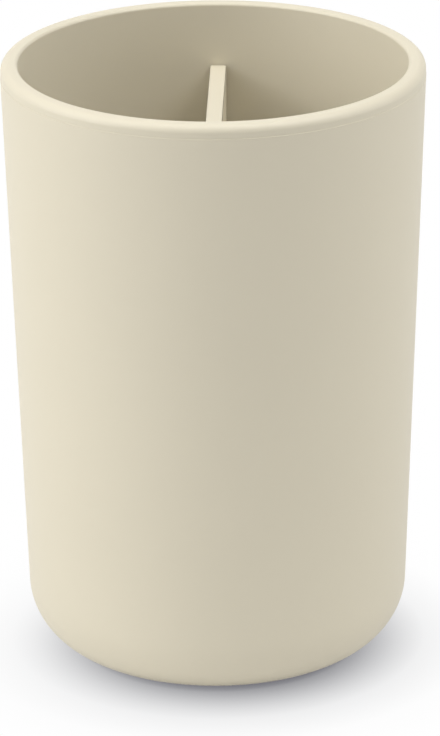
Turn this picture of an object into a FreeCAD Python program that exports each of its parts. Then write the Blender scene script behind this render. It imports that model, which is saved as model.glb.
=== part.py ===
"""Toothbrush holder: a tapered moulded cup, a divider plate that lifts out of it and a non-slip base ring.

Millimetres, +Z up. The origin is on the cup's axis, on the surface that the holder stands on. The divider
lies in the YZ plane, so the two half-moon compartments are on the +X and -X sides.
"""

import FreeCAD
import Part
import math
import os
from typing import NamedTuple

# Cup
rim_diameter = 75.2  # the outer wall's line, carried up to the top of the rim
overall_height = 110.0  # from the standing surface to the top of the rim
draft_angle = 1.93  # degrees that the wall leans out from the axis
wall_thickness = 3.15
floor_thickness = 3.2
bottom_round = 12.0  # outer round between the wall and the underside
rim_outer_round = 1.4
rim_inner_round = 0.6
parting_line_gap = 0.95  # from the foot of the rim's outer round down to the line where the mould halves meet
parting_step = 0.07  # the moulding is this much smaller above the parting line
gate_well_diameter = 8.0  # shallow well around the moulding's gate, in the middle of the underside
gate_well_depth = 0.5

# Divider plate
divider_thickness = 2.95
divider_drop = 11.65  # from the top of the rim down to the divider's top edge
divider_side_gap = 0.3  # from each upright edge to the cup's wall
divider_corner_clearance = 3.0  # added to the cup's inner corner round for the plate's lower corners
divider_edge_round = 0.3

# Guide ribs, in a pair at each end of the divider
guide_rib_width = 1.4
guide_rib_depth = 2.2  # from the cup's wall inwards
guide_rib_drop = 24.0  # from the divider's top edge down to the top of the ribs
guide_lead_in = 4.0  # height of the slope at the top of a rib
guide_gap = 0.25  # from each face of the divider to the rib beside it

# Base ring
ring_width = 3.5
ring_thickness = 1.6
ring_proud = 0.5  # how far it stands out of the underside
ring_margin = 1.2  # from the outer edge of the flat underside to the groove
ring_side_gap = 0.1
ring_edge_round = 0.4

# Worked out from the sizes above
draft_slope = math.tan(math.radians(draft_angle))
draft_sine = math.sin(math.radians(draft_angle))
draft_cosine = math.cos(math.radians(draft_angle))
rim_radius = rim_diameter / 2
underside_z = ring_proud
floor_z = underside_z + floor_thickness
floor_round = bottom_round - wall_thickness
rim_room = (wall_thickness - parting_step - rim_inner_round) / draft_cosine + rim_inner_round * draft_slope
outer_rim_round = min(rim_outer_round, rim_room / (1 / draft_cosine + draft_slope))
parting_z = overall_height - outer_rim_round * (1 + draft_sine) - parting_line_gap
divider_top_z = overall_height - divider_drop
rib_top_z = divider_top_z - guide_rib_drop

up = FreeCAD.Vector(0, 0, 1)
origin = FreeCAD.Vector(0, 0, 0)
full_turn = 360
same_point = 1e-6  # points closer than this are one point


class Round(NamedTuple):
    """Arc of an outline: centre as (radius, height), and angles in degrees from the outward direction."""

    centre: tuple
    radius: float
    start_angle: float
    end_angle: float

    def point(self, angle):
        """The (radius, height) point of the arc at an angle."""
        turn = math.radians(angle)
        return self.centre[0] + self.radius * math.cos(turn), self.centre[1] + self.radius * math.sin(turn)

    def ends(self):
        """First and last point."""
        return self.point(self.start_angle), self.point(self.end_angle)

    def edge(self):
        """The arc as an edge in the XZ plane."""
        middle_angle = (self.start_angle + self.end_angle) / 2
        angles = (self.start_angle, middle_angle, self.end_angle)
        return Part.Arc(*(in_section(self.point(angle)) for angle in angles)).toShape()


def in_section(point):
    """A (radius, height) point as a vector in the XZ plane."""
    return FreeCAD.Vector(point[0], 0, point[1])


def outline(items):
    """Closed face in the XZ plane from (radius, height) points and rounds, joined by straight edges."""
    spans = [item.ends() if isinstance(item, Round) else (item, item) for item in items]
    edges = []
    for index, item in enumerate(items):
        if isinstance(item, Round):
            edges.append(item.edge())
        start = spans[index][1]
        end = spans[(index + 1) % len(items)][0]
        if math.dist(start, end) > same_point:
            edges.append(Part.LineSegment(in_section(start), in_section(end)).toShape())
    return Part.Face(Part.Wire(edges))


def turned(face):
    """Solid of revolution of an outline about the cup's axis."""
    return face.revolve(origin, up, full_turn)


def wall_radius(z, inset=0.0):
    """Radius at height z of the outer wall's line, or of a line that lies inset within it."""
    return rim_radius - (overall_height - z) * draft_slope - inset / draft_cosine


def corner_centre(base_z, radius, inset=0.0):
    """Centre of the round between a flat at base_z and a wall line that lies inset within the outer one."""
    centre_z = base_z + radius
    return wall_radius(centre_z, inset + radius), centre_z


def groove_radii():
    """Inner and outer radius of the groove in the underside that takes the base ring."""
    outer = corner_centre(underside_z, bottom_round)[0] - ring_margin
    return outer - ring_width - 2 * ring_side_gap, outer


def cup_shell():
    """The cup without its guide ribs: underside with groove and gate well, wall, rim, inside and floor."""
    groove_inner, groove_outer = groove_radii()
    groove_roof = underside_z + ring_thickness - ring_proud
    gate_radius = gate_well_diameter / 2
    gate_roof = underside_z + gate_well_depth
    outer_centre_z = overall_height - outer_rim_round
    outer_centre = (wall_radius(outer_centre_z, parting_step + outer_rim_round), outer_centre_z)
    inner_centre_z = overall_height - rim_inner_round
    inner_centre = (wall_radius(inner_centre_z, wall_thickness - rim_inner_round), inner_centre_z)
    return turned(outline([
        (0, gate_roof),
        (gate_radius, gate_roof),
        (gate_radius, underside_z),
        (groove_inner, underside_z),
        (groove_inner, groove_roof),
        (groove_outer, groove_roof),
        (groove_outer, underside_z),
        Round(corner_centre(underside_z, bottom_round), bottom_round, -90, -draft_angle),
        (wall_radius(parting_z), parting_z),
        (wall_radius(parting_z, parting_step), parting_z),
        Round(outer_centre, outer_rim_round, -draft_angle, 90),
        Round(inner_centre, rim_inner_round, 90, 180 - draft_angle),
        Round(corner_centre(floor_z, floor_round, wall_thickness), floor_round, -draft_angle, -90),
        (0, floor_z),
    ]))


def guide_zone():
    """What a guide rib may fill: the inside of the cup, carried half a wall into the wall and the floor."""
    sink = wall_thickness / 2
    zone_floor = floor_z - sink
    zone_inset = wall_thickness - sink
    zone_round = floor_round + sink
    return turned(outline([
        (0, zone_floor),
        Round(corner_centre(zone_floor, zone_round, zone_inset), zone_round, -90, -draft_angle),
        (wall_radius(rib_top_z, zone_inset), rib_top_z),
        (0, rib_top_z),
    ]))


def guide_ribs():
    """Four upright ribs on the cup's wall, a pair at each end of the divider, with sloped tops."""
    tip_inset = wall_thickness + guide_rib_depth
    lead_z = rib_top_z - guide_lead_in
    side = outline([
        (wall_radius(0, tip_inset), 0),
        (rim_radius, 0),
        (rim_radius, rib_top_z),
        (wall_radius(rib_top_z, wall_thickness), rib_top_z),
        (wall_radius(lead_z, tip_inset), lead_z),
    ])
    near_face = divider_thickness / 2 + guide_gap
    ribs = []
    for face_y in (near_face, -near_face - guide_rib_width):
        rib = side.extrude(FreeCAD.Vector(0, guide_rib_width, 0))
        rib.translate(FreeCAD.Vector(0, face_y, 0))
        rib = rib.common(guide_zone())
        for turn in (90, 270):
            copy = rib.copy()
            copy.rotate(origin, up, turn)
            ribs.append(copy)
    return ribs


def cup():
    """The moulded cup with its guide ribs."""
    return cup_shell().fuse(guide_ribs()).removeSplitter()


def divider():
    """The plate: it follows the cup's taper a gap inside it and stands on the floor on its lower edge."""
    side_inset = wall_thickness + divider_side_gap
    corner_round = floor_round + divider_corner_clearance
    half_face = outline([
        (0, floor_z),
        Round(corner_centre(floor_z, corner_round, side_inset), corner_round, -90, -draft_angle),
        (wall_radius(divider_top_z, side_inset), divider_top_z),
        (0, divider_top_z),
    ])
    half = half_face.extrude(FreeCAD.Vector(0, divider_thickness, 0))
    half.translate(FreeCAD.Vector(0, -divider_thickness / 2, 0))
    other_half = half.copy()
    other_half.rotate(origin, up, 180)
    plate = half.fuse(other_half).removeSplitter()
    face_edges = [edge for edge in plate.Edges if edge.BoundBox.YLength < divider_thickness / 2]
    plate = plate.makeFillet(divider_edge_round, face_edges)
    plate.rotate(origin, up, 90)
    return plate


def base_ring():
    """The ring in the underside's groove, with its lower edges rounded."""
    groove_inner, groove_outer = groove_radii()
    inner = groove_inner + ring_side_gap
    outer = groove_outer - ring_side_gap
    return turned(outline([
        Round((inner + ring_edge_round, ring_edge_round), ring_edge_round, 180, 270),
        Round((outer - ring_edge_round, ring_edge_round), ring_edge_round, 270, 360),
        (outer, ring_thickness),
        (inner, ring_thickness),
    ]))


def main():
    """Builds each piece, writes it to parts/ and prints its size."""
    os.makedirs("parts", exist_ok=True)
    for node, build in (("cup", cup), ("divider", divider), ("base_ring", base_ring)):
        (solid,) = build().Solids
        solid.exportStep(os.path.join("parts", node + ".step"))
        box = solid.optimalBoundingBox()
        print(f"{node}: valid {solid.isValid()}, volume {solid.Volume:.1f} mm3, "
              f"x {box.XMin:.2f} to {box.XMax:.2f}, y {box.YMin:.2f} to {box.YMax:.2f}, "
              f"z {box.ZMin:.2f} to {box.ZMax:.2f}")


main()
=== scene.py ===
"""Looks of the toothbrush holder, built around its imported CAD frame, in metres.

The cup, the divider plate and the base ring are each modelled by operators as smooth meshes that stand for
their CAD nodes. The cup and the ring are spun from half-sections, and the divider is a rounded plate.
"""

import logging
import math
from dataclasses import dataclass
from enum import Enum
from typing import Callable, NamedTuple, Sequence

import bmesh
import bpy
from mathutils import Matrix, Vector


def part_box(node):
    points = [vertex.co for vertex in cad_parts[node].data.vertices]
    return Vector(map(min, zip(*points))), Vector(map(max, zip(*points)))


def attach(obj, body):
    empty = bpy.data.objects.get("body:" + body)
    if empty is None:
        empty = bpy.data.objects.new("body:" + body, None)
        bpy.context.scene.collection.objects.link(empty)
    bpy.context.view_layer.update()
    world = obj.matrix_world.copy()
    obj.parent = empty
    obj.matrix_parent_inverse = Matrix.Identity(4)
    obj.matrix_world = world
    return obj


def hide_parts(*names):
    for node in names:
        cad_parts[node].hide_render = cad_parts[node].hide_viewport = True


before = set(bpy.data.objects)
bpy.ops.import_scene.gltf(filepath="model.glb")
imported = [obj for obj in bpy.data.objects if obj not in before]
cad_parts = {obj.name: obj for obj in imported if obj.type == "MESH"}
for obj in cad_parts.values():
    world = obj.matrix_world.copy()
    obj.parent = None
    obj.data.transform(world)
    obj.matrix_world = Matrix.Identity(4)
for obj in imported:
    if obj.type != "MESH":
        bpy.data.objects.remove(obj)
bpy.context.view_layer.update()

LOG = logging.getLogger("toothbrush_holder")
MM = 0.001

SPIN_STEPS = 240
ARC_TOLERANCE = 0.0015 * MM  # most that an arc's chord may leave the arc
ARC_LARGEST_STEP = math.radians(18)
SAME_POINT = 0.0005 * MM
SMOOTH_ANGLE = math.radians(32)
FACE_WEIGHT = 100  # large faces stay flat, and the rounds beside them take up the turn

CUP_BEIGE = (0.66, 0.607, 0.476)
# the divider's beige is lighter than the cup's: partly its own tone, partly painted light that brightens
# its top and the corners beside it
DIVIDER_BEIGE_WITH_PAINTED_LIGHT = (0.688, 0.633, 0.497)
RING_SAND = (0.46, 0.42, 0.34)
WHITE = (1, 1, 1, 1)


class Body(Enum):
    """CAD bodies that pieces ride on."""

    CUP = "cup"
    DIVIDER = "divider"


class Slot(Enum):
    """Material slots of the record."""

    CUP = "cup_plastic"
    DIVIDER = "divider_plastic"
    RING = "ring_rubber"


class Corner(NamedTuple):
    """Corner of an outline, with the radius that it is rounded by.

    Across is the distance from the axis, or along the plate, and up is the height.
    """

    across: float
    up: float
    radius: float = 0.0


def arc_points(before: Vector, corner: Vector, after: Vector, radius: float) -> list[Vector]:
    """Rounds one corner of an outline.

    Args:
        before: The corner that comes before.
        corner: The corner to round.
        after: The corner that comes after.
        radius: Radius of the round.

    Returns:
        Points along the arc, from the first tangent point to the last.
    """
    towards = (before - corner).normalized()
    away = (after - corner).normalized()
    opening = towards.angle(away)
    centre = corner + (towards + away).normalized() * (radius / math.sin(opening / 2))
    first = corner + towards * (radius / math.tan(opening / 2)) - centre
    sweep = math.pi - opening
    fine_step = 2 * math.acos(max(0.0, 1 - ARC_TOLERANCE / radius))
    count = max(2, math.ceil(sweep / min(fine_step, ARC_LARGEST_STEP)))
    side = 1 if towards.cross(away) < 0 else -1
    turns = (Matrix.Rotation(side * sweep * index / count, 2) for index in range(count + 1))
    return [centre + turn @ first for turn in turns]


def rounded_outline(corners: Sequence[Corner], closed: bool) -> list[Vector]:
    """Turns the corners of an outline into points, with arcs at the rounded ones.

    Args:
        corners: The corners in order.
        closed: Whether the last corner joins the first.

    Returns:
        The outline's points as (across, up).
    """
    places = [Vector((corner.across, corner.up)) for corner in corners]
    points: list[Vector] = []
    for index, corner in enumerate(corners):
        inner = closed or 0 < index < len(corners) - 1
        if inner and corner.radius > 0:
            after = places[(index + 1) % len(places)]
            points.extend(arc_points(places[index - 1], places[index], after, corner.radius))
        else:
            points.append(places[index])
    return points


def deselect() -> None:
    """Leaves object mode with nothing selected."""
    bpy.ops.object.select_all(action="DESELECT")


def activate(piece: bpy.types.Object) -> None:
    """Selects one piece alone and makes it the active one.

    Args:
        piece: The piece.
    """
    deselect()
    piece.select_set(True)
    bpy.context.view_layer.objects.active = piece


def draw_chain(name: str, points: Sequence[Vector]) -> bpy.types.Object:
    """Draws a chain of edges point by point and stays in edit mode with its last point selected.

    Args:
        name: Name of the new piece.
        points: Places of the points, in order.

    Returns:
        The piece, in edit mode.
    """
    deselect()
    bpy.ops.mesh.primitive_plane_add(size=MM)
    piece = bpy.context.object
    piece.name = name
    piece.data.name = name
    bpy.ops.object.mode_set(mode="EDIT")
    bpy.ops.mesh.select_mode(type="VERT")
    bpy.ops.mesh.select_all(action="SELECT")
    bpy.ops.mesh.merge(type="CENTER")
    bpy.ops.transform.translate(value=points[0])
    for here, there in zip(points, points[1:]):
        bpy.ops.mesh.extrude_region_move(TRANSFORM_OT_translate={"value": there - here})
    return piece


def clean_mesh() -> None:
    """In edit mode, merges doubled points and turns all faces outwards."""
    bpy.ops.mesh.select_all(action="SELECT")
    bpy.ops.mesh.remove_doubles(threshold=SAME_POINT)
    bpy.ops.mesh.normals_make_consistent(inside=False)


def spin_piece(name: str, corners: Sequence[Corner], closed: bool) -> bpy.types.Object:
    """Spins a half-section about the Z axis.

    Args:
        name: Name of the new piece.
        corners: Corners of the half-section, as distance from the axis and height.
        closed: Whether the section is a loop clear of the axis.

    Returns:
        The piece, in object mode.
    """
    points = [Vector((point.x, 0, point.y)) for point in rounded_outline(corners, closed)]
    piece = draw_chain(name, points + points[:1] if closed else points)
    bpy.ops.mesh.select_all(action="SELECT")
    bpy.ops.mesh.spin(steps=SPIN_STEPS, angle=math.tau, center=(0, 0, 0), axis=(0, 0, 1))
    clean_mesh()
    bpy.ops.object.mode_set(mode="OBJECT")
    return piece


def draw_slab(name: str, corners: Sequence[Corner], start: float, end: float) -> bpy.types.Object:
    """Draws an upright slab: a closed outline in the YZ plane, filled and thickened along X.

    Args:
        name: Name of the new piece.
        corners: Corners of the outline, as distance along Y and height.
        start: X of its first face.
        end: X of its second face.

    Returns:
        The piece, in edit mode.
    """
    points = [Vector((start, point.x, point.y)) for point in rounded_outline(corners, closed=True)]
    piece = draw_chain(name, points + points[:1])
    bpy.ops.mesh.select_all(action="SELECT")
    bpy.ops.mesh.remove_doubles(threshold=SAME_POINT)
    bpy.ops.mesh.edge_face_add()
    bpy.ops.mesh.extrude_region_move(TRANSFORM_OT_translate={"value": (end - start, 0, 0)})
    clean_mesh()
    return piece


def cut_away(place: Vector, outward: Vector) -> None:
    """In edit mode, cuts off what lies beyond a plane and closes the cut.

    Args:
        place: A point of the plane.
        outward: Its normal, towards what is cut off.
    """
    bpy.ops.mesh.select_all(action="SELECT")
    bpy.ops.mesh.bisect(plane_co=place, plane_no=outward, use_fill=True, clear_outer=True)


def select_edges(piece: bpy.types.Object, wanted: Callable[[Vector, Vector], bool]) -> None:
    """In edit mode, selects the edges whose two ends pass a test, and nothing else.

    Args:
        piece: The piece in edit mode.
        wanted: Test of an edge's two ends.
    """
    bpy.ops.mesh.select_mode(type="EDGE")
    bpy.ops.mesh.select_all(action="DESELECT")
    mesh = bmesh.from_edit_mesh(piece.data)
    for edge in mesh.edges:
        edge.select_set(wanted(edge.verts[0].co, edge.verts[1].co))
    bmesh.update_edit_mesh(piece.data)


def apply_modifier(piece: bpy.types.Object, kind: str, **settings: object) -> None:
    """Adds a modifier to a piece and applies it.

    Args:
        piece: The piece.
        kind: Blender's name for the modifier's type.
        settings: Values for the modifier's properties.
    """
    activate(piece)
    modifier = piece.modifiers.new(kind.lower(), kind)
    for key, value in settings.items():
        setattr(modifier, key, value)
    bpy.ops.object.modifier_apply(modifier=modifier.name)


def shade(piece: bpy.types.Object) -> None:
    """Shades a piece smooth, with sharp edges kept and flat faces flat.

    Args:
        piece: The piece.
    """
    activate(piece)
    bpy.ops.object.shade_smooth_by_angle(angle=SMOOTH_ANGLE)
    apply_modifier(piece, "WEIGHTED_NORMAL", keep_sharp=True, weight=FACE_WEIGHT)


class NodeDesk:
    """Adds and links the nodes of one material or world."""

    def __init__(self, tree: bpy.types.NodeTree) -> None:
        """Starts with an empty tree."""
        self.tree = tree
        tree.nodes.clear()

    def add(self, kind: str, **inputs: object) -> bpy.types.Node:
        """Adds a node and sets its inputs.

        Args:
            kind: Blender's type name of the node, without its ShaderNode prefix.
            inputs: Values or sockets for the inputs, named with _ for spaces.

        Returns:
            The node.
        """
        node = self.tree.nodes.new("ShaderNode" + kind)
        for key, value in inputs.items():
            self.fill(node.inputs[key.replace("_", " ")], value)
        return node

    def fill(self, socket: bpy.types.NodeSocket, value: object) -> None:
        """Links an input to another node's output, or gives it a value.

        Args:
            socket: The input.
            value: The output, or the value.
        """
        if isinstance(value, bpy.types.NodeSocket):
            self.tree.links.new(value, socket)
        else:
            socket.default_value = value

    def noise(self, where: bpy.types.NodeSocket, size: float, layers: float) -> bpy.types.NodeSocket:
        """Adds a noise texture with features of about the given size.

        Args:
            where: Coordinates that it reads.
            size: Size of its features in metres.
            layers: Number of finer layers.

        Returns:
            Its factor, from 0 to 1.
        """
        return self.add("TexNoise", Vector=where, Scale=1 / size, Detail=layers).outputs["Fac"]

    def spread(self, factor: bpy.types.NodeSocket, low: float, high: float) -> bpy.types.NodeSocket:
        """Maps a factor from 0 to 1 onto a range.

        Args:
            factor: The factor.
            low: Value at 0.
            high: Value at 1.

        Returns:
            The mapped value.
        """
        return self.add("MapRange", Value=factor, To_Min=low, To_Max=high).outputs["Result"]

    def math(self, operation: str, first: bpy.types.NodeSocket,
             second: bpy.types.NodeSocket | float) -> bpy.types.NodeSocket:
        """Adds a calculation with two values.

        Args:
            operation: Blender's name for the operation.
            first: The first value.
            second: The second value.

        Returns:
            The result.
        """
        node = self.add("Math")
        node.operation = operation
        self.fill(node.inputs[0], first)
        self.fill(node.inputs[1], second)
        return node.outputs["Value"]

    def open_sky(self, reach: float, samples: int, **inputs: object) -> bpy.types.NodeSocket:
        """Adds a measure of how much sky is open above a surface.

        Args:
            reach: How far it looks.
            samples: How many ways it looks.
            inputs: Other inputs of the node.

        Returns:
            The open share, from 0 to 1.
        """
        node = self.add("AmbientOcclusion", Distance=reach, **inputs)
        node.samples = samples
        return node.outputs["AO"]

    def by_eye(self, lit: bpy.types.NodeSocket, seen: bpy.types.NodeSocket) -> bpy.types.NodeSocket:
        """Adds a choice between two shaders by what a ray carries.

        Args:
            lit: Shader for rays that light the holder.
            seen: Shader for rays that carry a view: from the camera, or by way of gloss or glass.

        Returns:
            The chosen shader.
        """
        path = self.add("LightPath").outputs
        view = self.math("MAXIMUM", path["Is Camera Ray"], path["Is Glossy Ray"])
        choice = self.add("MixShader", Fac=self.math("MAXIMUM", view, path["Is Transmission Ray"]))
        self.fill(choice.inputs[1], lit)
        self.fill(choice.inputs[2], seen)
        return choice.outputs["Shader"]


def blank_material(name: str) -> tuple[bpy.types.Material, NodeDesk]:
    """Makes a material without nodes.

    Args:
        name: Its name.

    Returns:
        The material, and the desk for its nodes.
    """
    material = bpy.data.materials.new(name)
    material.use_nodes = True
    return material, NodeDesk(material.node_tree)


@dataclass(frozen=True)
class MouldedPlastic:
    """Satin-matte moulded plastic, with a fine spark-eroded grain and a slight drift of its pigment."""

    name: str
    colour: tuple[float, float, float]
    roughness: float
    roughness_drift: float = 0.05
    colour_drift: float = 0.012
    drift_size: float = 26 * MM
    drift_layers: float = 2.0
    grain_size: float = 0.2 * MM
    grain_depth: float = 0.0016 * MM
    grain_layers: float = 3.0
    ripple_size: float = 7 * MM
    ripple_depth: float = 0.006 * MM
    ripple_layers: float = 1.0

    def build(self) -> bpy.types.Material:
        """Makes the material's nodes.

        Returns:
            The material.
        """
        material, desk = blank_material(self.name)
        where = desk.add("TexCoord").outputs["Object"]
        drift = desk.noise(where, self.drift_size, self.drift_layers)
        grain = desk.noise(where, self.grain_size, self.grain_layers)
        ripple = desk.noise(where, self.ripple_size, self.ripple_layers)
        light = tuple(value * (1 + self.colour_drift) for value in self.colour)
        deep = tuple(value * (1 - self.colour_drift) for value in self.colour)
        colour = desk.add("MixRGB", Fac=drift, Color1=(*deep, 1), Color2=(*light, 1)).outputs["Color"]
        low = self.roughness - self.roughness_drift
        high = self.roughness + self.roughness_drift
        waves = desk.add("Bump", Strength=1.0, Distance=self.ripple_depth, Height=ripple)
        relief = desk.add("Bump", Strength=1.0, Distance=self.grain_depth, Height=grain,
                          Normal=waves.outputs["Normal"])
        surface = desk.add("BsdfPrincipled", Base_Color=colour, Roughness=desk.spread(grain, low, high),
                           Normal=relief.outputs["Normal"])
        desk.add("OutputMaterial", Surface=surface.outputs["BSDF"])
        return material


@dataclass(frozen=True)
class SoftRubber:
    """Matte elastomer with a dusty, slightly uneven surface."""

    name: str
    colour: tuple[float, float, float]
    roughness: float = 0.78
    dust_size: float = 1.4 * MM
    dust_lift: float = 0.12
    dust_layers: float = 4.0
    grain_size: float = 0.3 * MM
    grain_depth: float = 0.006 * MM
    grain_layers: float = 2.0

    def build(self) -> bpy.types.Material:
        """Makes the material's nodes.

        Returns:
            The material.
        """
        material, desk = blank_material(self.name)
        where = desk.add("TexCoord").outputs["Object"]
        dust = desk.noise(where, self.dust_size, self.dust_layers)
        grain = desk.noise(where, self.grain_size, self.grain_layers)
        pale = tuple(value * (1 + self.dust_lift) for value in self.colour)
        colour = desk.add("MixRGB", Fac=dust, Color1=(*self.colour, 1), Color2=(*pale, 1)).outputs["Color"]
        relief = desk.add("Bump", Strength=1.0, Distance=self.grain_depth, Height=grain)
        surface = desk.add("BsdfPrincipled", Base_Color=colour, Roughness=self.roughness,
                           Normal=relief.outputs["Normal"])
        desk.add("OutputMaterial", Surface=surface.outputs["BSDF"])
        return material


def hand_over(piece: bpy.types.Object, material: bpy.types.Material, body: Body,
              node: str) -> None:
    """Dresses a finished piece and sets it in the CAD frame in place of its node.

    Args:
        piece: The finished piece.
        material: Its finish.
        body: The CAD body that it rides on.
        node: The CAD node that it stands for.
    """
    shade(piece)
    piece.data.materials.clear()
    piece.data.materials.append(material)
    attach(piece, body.value)
    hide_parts(node)
    LOG.info("%s: %d faces, rides on %s", piece.name, len(piece.data.polygons), body.value)


@dataclass
class Cup:
    """The moulded cup: wall, rim, floor, underside and the guide ribs for the divider."""

    finish: MouldedPlastic
    draft: float = math.radians(1.93)
    wall: float = 3.15 * MM
    floor: float = 3.2 * MM
    bottom_round: float = 12 * MM
    rim_outer_round: float = 1.4 * MM
    rim_inner_round: float = 0.6 * MM
    parting_drop: float = 2.397 * MM  # from the top of the rim down to the mould's parting line
    parting_step: float = 0.07 * MM
    parting_round: float = 0.025 * MM
    groove_width: float = 3.7 * MM
    groove_depth: float = 1.1 * MM
    groove_gap: float = 0.1 * MM
    edge_round: float = 0.2 * MM
    gate_well_radius: float = 4 * MM
    gate_well_depth: float = 0.5 * MM
    gate_stub_radius: float = 0.9 * MM
    gate_stub_height: float = 0.3 * MM
    rib_width: float = 1.4 * MM
    rib_depth: float = 2.2 * MM
    rib_drop: float = 35.65 * MM  # from the top of the rim down to the top of the ribs
    rib_lead_in: float = 4 * MM
    rib_gap: float = 0.25 * MM
    rib_edge_round: float = 0.3 * MM
    rib_edge_segments: int = 4

    def __post_init__(self) -> None:
        """Reads the cup's place from the frame."""
        low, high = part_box("cup")
        self.underside: float = low.z
        self.top: float = high.z
        self.rim_line: float = high.x + self.parting_drop * math.tan(self.draft)
        self.floor_top: float = self.underside + self.floor
        self.groove_outer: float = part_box("base_ring")[1].x + self.groove_gap
        self.groove_inner: float = self.groove_outer - self.groove_width

    def wall_radius(self, height: float, inset: float = 0.0) -> float:
        """Gives the radius of the outer wall's line, or of a line within it.

        Args:
            height: Height above the standing surface.
            inset: How far the line lies within the outer one.

        Returns:
            The radius.
        """
        return self.rim_line - (self.top - height) * math.tan(self.draft) - inset / math.cos(self.draft)

    def section(self) -> list[Corner]:
        """Lays out the half-section, from the middle of the underside round to the middle of the floor.

        Returns:
            The corners in order.
        """
        gate_roof = self.underside + self.gate_well_depth
        gate_tip = gate_roof - self.gate_stub_height
        groove_roof = self.underside + self.groove_depth
        parting = self.top - self.parting_drop
        floor_round = self.bottom_round - self.wall
        edge = self.edge_round
        return [
            Corner(0, gate_tip),
            Corner(self.gate_stub_radius, gate_tip, edge / 2),
            Corner(self.gate_stub_radius, gate_roof, edge / 2),
            Corner(self.gate_well_radius, gate_roof, edge),
            Corner(self.gate_well_radius, self.underside, edge),
            Corner(self.groove_inner, self.underside, edge),
            Corner(self.groove_inner, groove_roof, edge / 2),
            Corner(self.groove_outer, groove_roof, edge / 2),
            Corner(self.groove_outer, self.underside, edge),
            Corner(self.wall_radius(self.underside), self.underside, self.bottom_round),
            Corner(self.wall_radius(parting), parting, self.parting_round),
            Corner(self.wall_radius(parting, self.parting_step), parting, self.parting_round),
            Corner(self.wall_radius(self.top, self.parting_step), self.top, self.rim_outer_round),
            Corner(self.wall_radius(self.top, self.wall), self.top, self.rim_inner_round),
            Corner(self.wall_radius(self.floor_top, self.wall), self.floor_top, floor_round),
            Corner(0, self.floor_top),
        ]

    def rib(self) -> bpy.types.Object:
        """Shapes one guide rib: a slab of the wall's inside, cut along its tip and its sloped top.

        Returns:
            The rib at the back end of the divider, on the left of it.
        """
        sink = self.wall / 2
        foot = self.floor_top - sink
        rib_top = self.top - self.rib_drop
        lead_start = rib_top - self.rib_lead_in
        near_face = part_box("divider")[1].x + self.rib_gap
        slab = [
            Corner(self.groove_outer, foot),
            Corner(self.wall_radius(foot, sink), foot, self.bottom_round - sink),
            Corner(self.wall_radius(rib_top + sink, sink), rib_top + sink),
            Corner(self.groove_outer, rib_top + sink),
        ]
        rib = draw_slab("guide_rib", slab, -near_face - self.rib_width, -near_face)
        tip = Vector((0, self.wall_radius(lead_start, self.wall + self.rib_depth), lead_start))
        slope = Vector((0, self.wall_radius(rib_top, self.wall), rib_top)) - tip
        tip_normal = Vector((0, -math.cos(self.draft), math.sin(self.draft)))
        slope_normal = Vector((0, -slope.z, slope.y)).normalized()
        cut_away(tip, tip_normal)
        cut_away(tip, slope_normal)

        def on_cut(point: Vector) -> bool:
            """Tells whether a point lies on the rib's tip or its sloped top."""
            offsets = (abs((point - tip).dot(normal)) for normal in (tip_normal, slope_normal))
            return min(offsets) < SAME_POINT

        select_edges(rib, lambda a, b: on_cut(a) and on_cut(b) and abs(a.x - b.x) < SAME_POINT)
        bpy.ops.mesh.bevel(offset=self.rib_edge_round, segments=self.rib_edge_segments, affect="EDGES")
        clean_mesh()
        bpy.ops.object.mode_set(mode="OBJECT")
        return rib

    def ribs(self) -> list[bpy.types.Object]:
        """Copies the rib to both sides of the divider at both of its ends.

        Returns:
            The four ribs.
        """
        first = self.rib()
        across = 2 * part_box("divider")[1].x + 2 * self.rib_gap + self.rib_width
        made = [first]
        for turn, shift in ((0, across), (math.pi, 0), (math.pi, -across)):
            activate(first)
            bpy.ops.object.duplicate()
            copy = bpy.context.object
            bpy.ops.object.mode_set(mode="EDIT")
            bpy.ops.mesh.select_all(action="SELECT")
            if turn:
                bpy.ops.transform.rotate(value=turn, orient_axis="Z", center_override=(0, 0, 0))
            if shift:
                bpy.ops.transform.translate(value=(shift, 0, 0))
            bpy.ops.object.mode_set(mode="OBJECT")
            made.append(copy)
        return made

    def build(self) -> bpy.types.Object:
        """Spins the cup, joins its ribs to it and dresses it.

        Returns:
            The cup.
        """
        cup = spin_piece("cup_moulding", self.section(), closed=False)
        for rib in self.ribs():
            apply_modifier(cup, "BOOLEAN", operation="UNION", solver="EXACT", object=rib)
            bpy.data.objects.remove(rib)
        hand_over(cup, self.finish.build(), Body.CUP, "cup")
        return cup


@dataclass
class Divider:
    """The plate that stands between the guide ribs."""

    finish: MouldedPlastic
    draft: float = math.radians(1.93)
    lower_corner_round: float = 11.85 * MM
    upper_corner_round: float = 0.1 * MM
    edge_round: float = 0.3 * MM
    edge_segments: int = 5

    def section(self) -> list[Corner]:
        """Lays out the plate's face, as distance along the plate and height.

        Returns:
            The corners in order.
        """
        low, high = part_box("divider")
        foot = high.y - (high.z - low.z) * math.tan(self.draft)
        return [
            Corner(-foot, low.z, self.lower_corner_round),
            Corner(foot, low.z, self.lower_corner_round),
            Corner(high.y, high.z, self.upper_corner_round),
            Corner(-high.y, high.z, self.upper_corner_round),
        ]

    def build(self) -> bpy.types.Object:
        """Draws the plate's face, thickens it, rounds its edges and dresses it.

        Returns:
            The plate.
        """
        low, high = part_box("divider")
        plate = draw_slab("divider_plate", self.section(), low.x, high.x)
        select_edges(plate, lambda a, b: abs(a.x - b.x) < SAME_POINT)
        bpy.ops.mesh.bevel(offset=self.edge_round, segments=self.edge_segments, affect="EDGES")
        clean_mesh()
        bpy.ops.object.mode_set(mode="OBJECT")
        hand_over(plate, self.finish.build(), Body.DIVIDER, "divider")
        return plate


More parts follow.
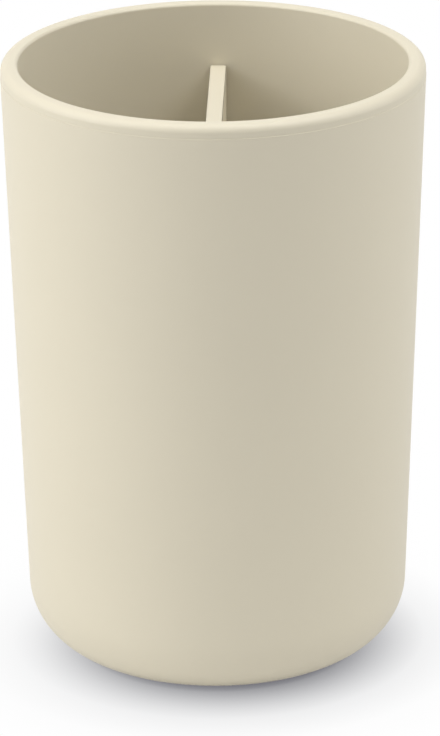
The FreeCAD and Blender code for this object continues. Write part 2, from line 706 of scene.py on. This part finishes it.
@dataclass
class BaseRing:
    """The non-slip ring in the cup's underside."""

    finish: SoftRubber
    width: float = 3.5 * MM
    lower_round: float = 0.4 * MM
    upper_round: float = 0.1 * MM

    def section(self) -> list[Corner]:
        """Lays out the ring's section.

        Returns:
            The corners in order.
        """
        low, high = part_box("base_ring")
        inner = high.x - self.width
        return [
            Corner(inner, low.z, self.lower_round),
            Corner(high.x, low.z, self.lower_round),
            Corner(high.x, high.z, self.upper_round),
            Corner(inner, high.z, self.upper_round),
        ]

    def build(self) -> bpy.types.Object:
        """Spins the ring and dresses it.

        Returns:
            The ring.
        """
        ring = spin_piece("non_slip_ring", self.section(), closed=True)
        hand_over(ring, self.finish.build(), Body.CUP, "base_ring")
        return ring


@dataclass(frozen=True)
class Softbox:
    """Rectangular studio light that faces the holder.

    Azimuth is counted round the holder from the front, with 90 on the right, and elevation from the floor.
    """

    name: str
    azimuth: float
    elevation: float
    width: float
    height: float
    power: float
    distance: float = 1.0

    def build(self, target: Vector) -> bpy.types.Object:
        """Places the light.

        Args:
            target: The point that it faces.

        Returns:
            The light.
        """
        turn = math.radians(self.azimuth)
        rise = math.radians(self.elevation)
        away = Vector((math.sin(turn) * math.cos(rise), -math.cos(turn) * math.cos(rise), math.sin(rise)))
        deselect()
        bpy.ops.object.light_add(type="AREA", location=target + away * self.distance)
        light = bpy.context.object
        light.name = self.name
        light.rotation_euler = away.to_track_quat("Z", "Y").to_euler()
        light.data.shape = "RECTANGLE"
        light.data.size = self.width
        light.data.size_y = self.height
        light.data.energy = self.power
        light.visible_camera = False
        return light


class OpenSky(NamedTuple):
    """One part of the shadow painted on the floor: it dims the floor beside the holder by the open sky that
    it has within a reach.

    It looks straight up, or leans to the right and to the back, and power is how strongly it dims.
    """

    reach: float
    lean_right: float
    lean_back: float
    power: float


@dataclass(frozen=True)
class WhiteSweep:
    """White studio floor: pale to the light, and white to the eye, with the holder's soft shadow painted on
    it for the eye.
    """

    name: str = "white_sweep"
    size: float = 1.2
    albedo: float = 0.8
    glow: float = 0.116
    glow_reach: float = 8 * MM  # the glow fades where the holder stands this close above the floor
    glow_samples: int = 4
    drop: float = 0.05 * MM  # keeps the floor's plane apart from the ring's flat underside
    # colour that the painted shadow takes where no sky is open
    painted_shadow_deepest: tuple[float, float, float] = (0.0, 0.0, 0.024)
    sky_samples: int = 32
    least_sky: float = 0.025  # keeps dark specks out of the painted shadow where hardly any sky is open
    painted_shadow_parts: tuple[OpenSky, ...] = (
        OpenSky(reach=28 * MM, lean_right=0.0, lean_back=0.4, power=0.072),
        OpenSky(reach=16 * MM, lean_right=-0.35, lean_back=0.35, power=0.182),
        OpenSky(reach=8 * MM, lean_right=-0.35, lean_back=0.35, power=0.198),
        OpenSky(reach=1.2 * MM, lean_right=-0.7, lean_back=0.35, power=0.42),
    )

    def lit_side(self, desk: NodeDesk) -> bpy.types.NodeSocket:
        """Adds what lights the holder from below: bounced light and a faint glow.

        Args:
            desk: The tree to add to.

        Returns:
            The shader.
        """
        pale = desk.add("BsdfDiffuse", Color=(self.albedo, self.albedo, self.albedo, 1))
        sky = desk.open_sky(self.glow_reach, self.glow_samples)
        glow = desk.add("Emission", Strength=desk.math("MULTIPLY", sky, self.glow))
        both = desk.add("AddShader")
        desk.fill(both.inputs[0], pale.outputs["BSDF"])
        desk.fill(both.inputs[1], glow.outputs["Emission"])
        return both.outputs["Shader"]

    def seen_side(self, desk: NodeDesk) -> bpy.types.NodeSocket:
        """Adds what the eye sees: white, with the holder's shadow painted on as a product of its parts.

        Args:
            desk: The tree to add to.

        Returns:
            The shader.
        """
        # the holder's shadow is painted into the floor's white: each part's open sky darkens it
        clear: bpy.types.NodeSocket | float = 1.0
        for part in self.painted_shadow_parts:
            lean = Vector((part.lean_right, part.lean_back, 1)).normalized()
            towards = desk.add("CombineXYZ", X=lean.x, Y=lean.y, Z=lean.z).outputs["Vector"]
            sky = desk.open_sky(part.reach, self.sky_samples, Normal=towards)
            share = desk.math("MAXIMUM", sky, self.least_sky)
            clear = desk.math("MULTIPLY", desk.math("POWER", share, part.power), clear)
        painted_shadow_colour = desk.add("MixRGB", Fac=clear, Color1=(*self.painted_shadow_deepest, 1), Color2=WHITE)
        return desk.add("Emission", Color=painted_shadow_colour.outputs["Color"], Strength=1.0).outputs["Emission"]

    def build(self) -> bpy.types.Object:
        """Lays the floor and dresses it.

        Returns:
            The floor.
        """
        deselect()
        bpy.ops.mesh.primitive_plane_add(size=self.size, location=(0, 0, -self.drop))
        floor = bpy.context.object
        floor.name = self.name
        material, desk = blank_material(self.name)
        surface = desk.by_eye(lit=self.lit_side(desk), seen=self.seen_side(desk))
        desk.add("OutputMaterial", Surface=surface)
        floor.data.materials.append(material)
        return floor


@dataclass(frozen=True)
class PhotoCamera:
    """Camera at the photograph's viewpoint, solved from the outline for a 440 by 736 frame."""

    place: tuple[float, float, float] = (23.543 * MM, -849.99 * MM, 376.893 * MM)
    heading: float = math.radians(1.535)
    pitch: float = math.radians(20.916)
    roll: float = math.radians(-0.4813)
    focal_pixels: float = 5054.6
    long_side_pixels: float = 736
    sensor: float = 36.0

    def build(self) -> bpy.types.Object:
        """Places the camera and makes it the scene's own.

        Returns:
            The camera.
        """
        deselect()
        bpy.ops.object.camera_add(location=self.place)
        camera = bpy.context.object
        camera.name = "photo_camera"
        aim = Matrix.Rotation(self.heading, 3, "Z")
        tilt = Matrix.Rotation(math.pi / 2 - self.pitch, 3, "X")
        camera.rotation_euler = (aim @ tilt @ Matrix.Rotation(self.roll, 3, "Z")).to_euler()
        camera.data.sensor_width = self.sensor
        camera.data.lens = self.sensor * self.focal_pixels / self.long_side_pixels
        bpy.context.scene.camera = camera
        return camera


@dataclass
class Studio:
    """White sweep, softboxes, world light and camera."""

    floor: WhiteSweep
    softboxes: tuple[Softbox, ...]
    camera: PhotoCamera
    ambient: float = 0.0
    target: Vector = Vector((0, 0, 55 * MM))

    def build_world(self) -> None:
        """Makes the world: white to the eye, and as bright to the holder as the ambient light."""
        world = bpy.data.worlds.new("studio_world")
        bpy.context.scene.world = world
        world.use_nodes = True
        desk = NodeDesk(world.node_tree)
        lit = desk.add("Background", Color=WHITE, Strength=self.ambient).outputs["Background"]
        seen = desk.add("Background", Color=WHITE, Strength=1.0).outputs["Background"]
        desk.add("OutputWorld", Surface=desk.by_eye(lit, seen))

    def build(self) -> None:
        """Sets up floor, light and camera."""
        bpy.context.scene.view_settings.view_transform = "Standard"
        self.floor.build()
        self.build_world()
        for softbox in self.softboxes:
            softbox.build(self.target)
        self.camera.build()


def main() -> None:
    """Builds the holder and its studio."""
    logging.basicConfig(level=logging.INFO, format="%(name)s: %(message)s")
    Cup(MouldedPlastic("cup_plastic_finish", CUP_BEIGE, roughness=0.5)).build()
    # the divider's colour carries painted light that brightens its top
    Divider(MouldedPlastic("divider_plastic_finish", DIVIDER_BEIGE_WITH_PAINTED_LIGHT, roughness=0.5)).build()
    BaseRing(SoftRubber("ring_rubber_finish", RING_SAND)).build()
    softboxes = (
        Softbox("left_steep_softbox", azimuth=285, elevation=68, width=0.7, height=0.7, power=4.15),
        Softbox("left_softbox", azimuth=302, elevation=30, width=0.8, height=0.6, power=3.4),
        Softbox("left_low_softbox", azimuth=291, elevation=15, width=0.8, height=0.5, power=2.5),
        Softbox("left_side_softbox", azimuth=262, elevation=22, width=0.6, height=0.6, power=1.55),
        Softbox("right_steep_softbox", azimuth=75, elevation=68, width=0.7, height=0.7, power=3.75),
        Softbox("right_softbox", azimuth=66, elevation=48, width=1.0, height=0.6, power=3.6),
        Softbox("right_low_softbox", azimuth=92, elevation=15, width=0.5, height=0.5, power=1.8),
        Softbox("back_softbox", azimuth=150, elevation=68, width=0.7, height=0.7, power=0.5),
    )
    Studio(WhiteSweep(), softboxes, PhotoCamera()).build()


if __name__ == "__main__":
    main()
